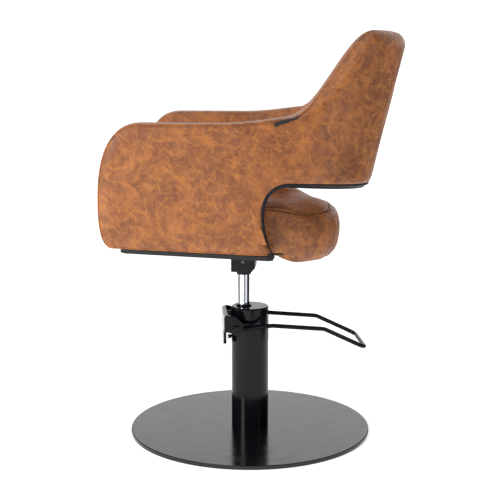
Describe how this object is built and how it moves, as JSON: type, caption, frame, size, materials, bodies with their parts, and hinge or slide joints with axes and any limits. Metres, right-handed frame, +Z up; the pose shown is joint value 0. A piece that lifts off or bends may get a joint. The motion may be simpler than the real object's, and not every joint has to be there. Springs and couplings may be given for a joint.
{
  "type": "styling chair",
  "caption": "Height-adjustable salon styling chair: round steel base, foot-pumped hydraulic ram and a padded wrap-around seat with low arms and a leaning back.",
  "frame": {"origin": "centre of the base disc's underside, on the floor", "axes": "+Z up; the sitter faces -Y; the chair's left arm is on the +X side"},
  "size_m": [0.618, 0.6879, 0.9715],
  "materials": {
    "black_gloss": "gloss",
    "black_satin": "satin",
    "chrome": "polished",
    "zinc_steel": "satin",
    "dark_steel": "satin",
    "bronze": "satin",
    "rubber_black": "matte",
    "seal_red": "satin",
    "plywood": "matte",
    "board_black": "matte",
    "foam": "matte",
    "webbing": "matte",
    "dust_fabric": "matte",
    "leather_tan": "satin",
    "leather_seam": "satin",
    "trim_black": "satin",
    "tag_woven": "matte"
  },
  "bodies": {
    "base": {"base_disc": "black_gloss", "floor_ring": "rubber_black", "base_screws": "zinc_steel", "foot_plug": "dark_steel", "pump_tube": "black_gloss", "pressure_tube": "dark_steel", "pump_head": "black_gloss", "gland_ring": "black_gloss", "wiper_seal": "rubber_black", "guide_bush": "bronze", "ram_seal": "seal_red", "pivot_bolts": "black_satin"},
    "pedal": {"pedal_yoke": "black_satin", "pedal_bar": "black_gloss"},
    "plunger": {"plunger": "zinc_steel", "plunger_spring": "dark_steel"},
    "release": {"release_pin": "zinc_steel", "release_spring": "dark_steel"},
    "ram": {"ram": "chrome", "ram_stop_ring": "dark_steel", "thrust_washer": "bronze"},
    "seat": {"seat_hub": "black_satin", "swivel_bush": "bronze", "hub_screw": "dark_steel", "seat_plate": "black_satin", "plate_bolts": "dark_steel", "tee_nuts": "zinc_steel", "seat_board": "board_black", "seat_frame": "plywood", "seat_webbing": "webbing", "dust_cover": "dust_fabric", "seat_foam": "foam", "seat_side_cover": "leather_tan", "seat_top_cover": "leather_tan", "seat_welt": "leather_seam", "shell_frame": "plywood", "shell_outer_pad": "foam", "shell_inner_pad": "foam", "shell_outer_cover": "leather_tan", "shell_inner_cover": "leather_tan", "shell_rim_cover": "leather_tan", "shell_lower_trim": "trim_black", "shell_welt": "leather_seam", "shell_screws": "zinc_steel", "side_tag": "tag_woven"}
  },
  "joints": [
    {"name": "seat_lift", "type": "slide", "parent": "base", "child": "ram", "axis": [0, 0, 1], "range_m": [-0.06, 0.075]},
    {"name": "seat_swivel", "type": "hinge", "parent": "ram", "child": "seat", "pos_m": [0, -0.015, 0.43], "axis": [0, 0, 1], "continuous": true},
    {"name": "pedal_pump", "type": "hinge", "parent": "base", "child": "pedal", "pos_m": [0.0066, -0.03742, 0.267], "axis": [0.9848, 0.1736, 0], "range_deg": [-14, 5], "stiffness_Nm_per_rad": 20, "springref_deg": 9.74},
    {"name": "plunger_stroke", "type": "slide", "parent": "base", "child": "plunger", "axis": [-0.1736, 0.9848, 0], "range_m": [-0.0018, 0.005], "deforming": ["plunger_spring"]},
    {"name": "release_press", "type": "slide", "parent": "base", "child": "release", "axis": [-0.1736, 0.9848, 0], "range_m": [0, 0.003], "stiffness_N_per_m": 800, "deforming": ["release_spring"]}
  ],
  "couplings": [
    {"joint": "plunger_stroke", "follows": "pedal_pump", "m_per_rad": -0.0196}
  ]
}
